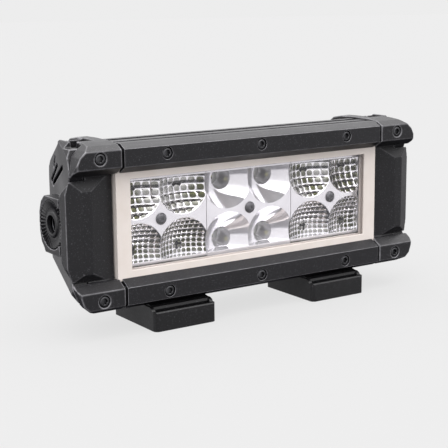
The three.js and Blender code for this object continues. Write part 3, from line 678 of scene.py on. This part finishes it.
def smooth_cup(bm, module, outline, column, row):
    """One smooth cup and the dull tube behind it; gives back the tube's vertices."""
    curve = (RIM_RADIUS ** 2 - THROAT_RADIUS ** 2) / THROAT_DEPTH
    axis_x = module.centre.x + column * module.cup_x

    def point(u, w, y):
        return Vector((axis_x + u, y, module.centre.z + row * (module.cup_z + w)))

    rings = []
    for ring in range(CUP_RINGS + 1):
        points = []
        for edge in outline:
            distance = edge.length
            # the throat is flattened where it would pass the shelf
            throat = min(THROAT_RADIUS, 0.97 * distance)
            radius = throat + (distance - throat) * ring / CUP_RINGS
            u, w = edge * (radius / distance)
            points.append(point(u, w, module.front + (RIM_RADIUS ** 2 - radius ** 2) / curve))
        rings.append(points)
    axis = point(0, 0, module.rear)
    bottom = [axis.lerp(Vector((p.x, module.rear, p.z)), COLLAR_TAPER) for p in rings[0]]
    mouth = [p + Vector((0, COLLAR_STEP, 0)) for p in rings[0]]
    loops = ring_surface(bm, [bottom, mouth] + rings)
    rim = loops[-1]
    # the shelf's wall, from the cup's edge to the front plane
    wall_tops = {}
    for i, vertex in enumerate(rim):
        if abs(outline[i].y - SHELF_OFFSET) < TINY:
            wall_tops[i] = bm.verts.new((vertex.co.x, module.front, vertex.co.z))
    for i in wall_tops:
        j = (i + 1) % len(outline)
        if j in wall_tops:
            bm.faces.new((rim[i], rim[j], wall_tops[j], wall_tops[i]))
    return loops[0] + loops[1]


def smooth_module(side):
    """Two by two overlapping smooth cups in one block, cut off by flat shelves above and below."""
    module = Module(side)
    outline = cup_outline(-module.cup_x, module.cup_x, SHELF_OFFSET)
    bm = bmesh.new()
    dull = set()
    for column in (-1, 1):
        for row in (-1, 1):
            dull.update(smooth_cup(bm, module, outline, column, row))
    # the tube behind each cup is marked to be painted dark, as shade
    paint(bm, "collar", lambda vertex: vertex in dull)
    bmesh.ops.remove_doubles(bm, verts=bm.verts, dist=WELD)
    paint(bm, "satin", lambda vertex: True)
    close_block(bm, module.low, module.high)
    return add_reflector(bm, module)


class PillowedDishes:
    """The surface of an outer module: overlapping dishes with pillows in straight rows and columns."""

    def __init__(self, module):
        self.module = module
        self.curve = (RIM_RADIUS ** 2 - LED_HOLE ** 2) / DISH_DEPTH
        self.shelf = module.cup_z + SHELF_OFFSET
        self.step = 2 * module.cup_x / PILLOWS_PER_CUP / PILLOW_STEPS["upper"]
        self.left = max(module.low.x, -WINDOW_EDGE)
        self.right = min(module.high.x, WINDOW_EDGE)

    def pillow_steps(self, z):
        return PILLOW_STEPS["upper" if z > 0 else "lower"]

    def waves(self, x, z):
        """Rise of a pillow's outline across and up, each from 0 on the lines between pillows to 1."""
        pitch = self.step * self.pillow_steps(z)
        across = math.pi * (x - self.module.centre.x) / pitch
        return abs(math.sin(across)), abs(math.sin(math.pi * z / pitch))

    def fade(self, x, y, z):
        """Share of the pillows' full height, down to 0 along every border of the surface."""
        distances = (
            self.shelf - abs(z), x - self.left, self.right - x, abs(x - self.module.centre.x))
        shares = [distance / BORDER_FADE for distance in distances]
        return max(min((y - self.module.front) / RIM_FADE, *shares, 1.0), 0.0)

    def point(self, x, z):
        """A point of the surface; x is absolute and z is from the module's middle."""
        module = self.module
        axis_x = module.centre.x + math.copysign(module.cup_x, x - module.centre.x)
        u, w = Vector((x, z)) - Vector((axis_x, math.copysign(module.cup_z, z)))
        y = module.front + (RIM_RADIUS ** 2 - u ** 2 - w ** 2) / self.curve
        size = self.pillow_steps(z) / PILLOW_STEPS["upper"]
        swell = PILLOW_HEIGHT * size * (sum(self.waves(x, z)) - PILLOW_SINK)
        inward = Vector((2 * u / self.curve, 1, 2 * w / self.curve)).normalized()
        return Vector((x, y, module.centre.z + z)) - self.fade(x, y, z) * swell * inward

    def columns(self):
        """The grid's places along X: one at each end, and the rest on the pillows' steps."""
        count = PILLOWS_PER_CUP * PILLOW_STEPS["upper"]
        inside = [self.module.centre.x + i * self.step for i in range(-count, count + 1)]
        clear = 0.1 * MM
        inside = [x for x in inside if x - self.left > clear and self.right - x > clear]
        return [self.left] + inside + [self.right]


def wall_column(bm, line, y):
    """A column of vertices moved to depth y, which keeps the first and last vertex of the old one."""
    return [line[0]] + [bm.verts.new((v.co.x, y, v.co.z)) for v in line[1:-1]] + [line[-1]]


def lay_dishes(bm, dishes):
    """A grid over the dishes, with shelf and end walls that run through the front plane."""
    module = dishes.module
    ahead = module.front - PAST_FRONT
    rows = round(2 * dishes.shelf / dishes.step)
    heights = [-dishes.shelf + 2 * dishes.shelf * i / rows for i in range(rows + 1)]
    grid = []
    for x in dishes.columns():
        line = [dishes.point(x, z) for z in heights]
        below, above = (Vector((x, ahead, module.centre.z + z)) for z in (-dishes.shelf, dishes.shelf))
        grid.append([bm.verts.new(p) for p in [below] + line + [above]])
    if module.low.x < dishes.left:
        grid.insert(0, wall_column(bm, grid[0], ahead))
    if dishes.right < module.high.x:
        grid.append(wall_column(bm, grid[-1], ahead))
    for first, second in zip(grid, grid[1:]):
        for i in range(len(first) - 1):
            corners = list(dict.fromkeys((first[i], second[i], second[i + 1], first[i + 1])))
            if len(corners) > 2:
                bm.faces.new(corners)


def pillowed_module(side):
    """Two by two overlapping dishes, moulded all over with small pillows, and a tube to each LED."""
    module = Module(side)
    dishes = PillowedDishes(module)
    front, bottom = module.front, module.front + DISH_DEPTH
    bm = bmesh.new()
    lay_dishes(bm, dishes)
    # keep what lies between the front plane and the dishes' bottom
    for y, keep_rear in ((front, True), (bottom, False)):
        bmesh.ops.bisect_plane(
            bm, geom=bm.verts[:] + bm.edges[:] + bm.faces[:], dist=TINY, plane_co=(0, y, 0),
            plane_no=(0, 1, 0), clear_inner=keep_rear, clear_outer=not keep_rear)
    bmesh.ops.remove_doubles(bm, verts=bm.verts, dist=WELD)
    holes = [
        edge for edge in bm.edges
        if edge.is_boundary and all(abs(v.co.y - bottom) < 10 * TINY for v in edge.verts)]
    for part in bmesh.ops.extrude_edge_only(bm, edges=holes)["geom"]:
        if isinstance(part, bmesh.types.BMVert):
            part.co.y = module.rear
    # the tube behind each LED hole is marked to be painted dark as shade, and the pillows' middles to
    # take a painted reflection
    paint(bm, "collar", lambda vertex: vertex.co.y > bottom - ON_PLANE)
    paint(bm, "satin", lambda vertex: vertex.co.y < front + ON_PLANE)
    paint(bm, "pillow", lambda vertex: (vertex.co.y > front + 0.2 * MM) * math.prod(
        dishes.waves(vertex.co.x, vertex.co.z - module.centre.z)))
    close_block(bm, module.low, module.high)
    return add_reflector(bm, module)


def add_reflector(bm, module):
    """Puts a module in the scene, with crisp edges all over its front web."""
    mark_sharp(bm, math.radians(40))
    for edge in bm.edges:
        if all(abs(vertex.co.y - module.front) < 10 * TINY for vertex in edge.verts):
            edge.smooth = False
    return finish_piece(bm, module.node, "bright_reflector", weighted=False)


def close_block(bm, low, high):
    """Closes the module's block round its cups: sides, top, bottom, front web and back."""
    def boundary():
        return [edge for edge in bm.edges if edge.is_boundary]

    def at_plane(edges, axis, value):
        return [e for e in edges if all(abs(v.co[axis] - value) < ON_PLANE for v in e.verts)]

    for x in (low.x, high.x):
        edges = at_plane(boundary(), 0, x)
        corners = [bm.verts.new((x, y, z)) for y, z in (
            (low.y, low.z), (high.y, low.z), (high.y, high.z), (low.y, high.z))]
        frame_edges = [bm.edges.new((corners[i], corners[(i + 1) % 4])) for i in (0, 1, 2)]
        ends = [v for v in {v for e in edges for v in e.verts} if abs(v.co.y - low.y) < ON_PLANE]
        ends.sort(key=lambda v: v.co.z)
        # the front web's edge runs between the openings that the cups leave in this side
        chain = [corners[0]] + ends + [corners[3]]
        for first, second in zip(chain[0::2], chain[1::2]):
            frame_edges.append(bm.edges.new((first, second)))
        bmesh.ops.triangle_fill(bm, edges=edges + frame_edges, use_beauty=True)
    bm.verts.ensure_lookup_table()
    for z in (low.z, high.z):
        corner = {}
        for vertex in bm.verts:
            if abs(vertex.co.z - z) < ON_PLANE:
                corner[(vertex.co.x > (low.x + high.x) / 2, vertex.co.y > (low.y + high.y) / 2)] = vertex
        order = [corner[key] for key in ((False, False), (True, False), (True, True), (False, True))]
        bm.faces.new(order)
    for y in (low.y, high.y):
        bmesh.ops.triangle_fill(bm, edges=at_plane(boundary(), 1, y), use_beauty=True)
    turn_outwards(bm)


# ---------------------------------------------------------------- small pieces behind the lens

SMALL_STEPS = 32
LED_BASE = 1.0 * MM
LED_DOME = 1.6 * MM
PHOSPHOR_RADIUS = 0.9 * MM


def reflector_screw(node):
    """Round-headed screw with a small recess, between the cups of a module.

    A row of the profile is a radius and a depth behind the head's front, in millimetres.
    """
    low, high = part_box(node)
    middle = (low + high) / 2
    head = (high.x - low.x) / 2
    profile = [
        (0.25, 0.62), (0.7, 0.6), (0.78, 0.1), (1.2, 0.04), (1.7, 0.16), (2.2, 0.42), (2.5, 0.75),
        (head / MM, 1.1), (1.5, 1.12), (1.5, (high.y - low.y) / MM),
    ]
    rings = []
    for radius, depth in profile:
        rings.append(ring_about_y(middle, low.y + depth * MM, SMALL_STEPS, circle(radius * MM)))
    return finish_piece(closed_rings(rings), node, "steel")


def led(node):
    """LED package: a square ceramic base, and a clear dome over a round spot of phosphor."""
    low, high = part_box(node)
    middle = (low + high) / 2
    base = square((high.x - low.x) / 2)
    top = high.y - LED_BASE
    rings = [ring_about_y(middle, y, SMALL_STEPS, base) for y in (high.y, top)]
    for latitude in range(0, 91, 15):
        angle = math.radians(latitude)
        radius = max(LED_DOME * math.cos(angle), 0.02 * MM)
        y = top - LED_DOME * math.sin(angle)
        rings.append(ring_about_y(middle, y, SMALL_STEPS, circle(radius)))
    bm = closed_rings(rings)
    paint(bm, "phosphor", lambda vertex: math.hypot(
        vertex.co.x - middle.x, vertex.co.z - middle.z) < PHOSPHOR_RADIUS)
    return finish_piece(bm, node, "led_phosphor")


# ---------------------------------------------------------------- assembly

bpy.context.scene.view_settings.view_transform = "Standard"
bpy.context.scene.view_settings.look = "None"
make_camera()
make_world()
make_soft_box("front fill", (-0.5, -1.6, 0.7), size=(1.6, 1.2), power=4, mirrored=False)
make_soft_box("left box", (-1.8, -0.35, 0.5), size=(1.0, 1.4), power=9)
make_floor()
FINISHES = make_finishes()

for name in ("heatsink_housing", "upper_bezel_rail", "lower_bezel_rail"):
    machined(name, "powder_coat", 0.35 * MM)
for name in ("left_foot", "right_foot"):
    machined(name, "foot_black", 0.15 * MM)
for side in ("left", "right"):
    cast(side + "_end_cap", "cast_black")
    cast(side + "_end_plate", "cast_black")
    mount_disc(side)
    machined(side + "_mount_bush", "steel", 0.2 * MM)
    machined(side + "_end_gasket", "rubber", 0.1 * MM)
    machined(side + "_foot_nut", "steel", 0.2 * MM)
    machined(side + "_foot_bolt", "steel", 0.2 * MM)
machined("cable_gland", "rubber", 0.15 * MM)
machined("breather_vent", "rubber", 0.25 * MM)
machined("lens_seal", "cream_seal", 0.2 * MM)
machined("lens", "clear_lens", 0.2 * MM)
machined("led_board", "white_board", 0.1 * MM)
machined("driver_board", "driver_parts", 0.2 * MM)

for name in frame["nodes"]:
    if "rail_screw" in name or name.endswith("cap_screw"):
        front_screw(name)
    if name.startswith(("led_upper", "led_lower")):
        led(name)
for side in ("left", "centre", "right"):
    reflector_screw("reflector_screw_" + side)
smooth_module("centre")
for side in ("left", "right"):
    pillowed_module(side)
    reflector_screw(side + "_reflector_end_screw")
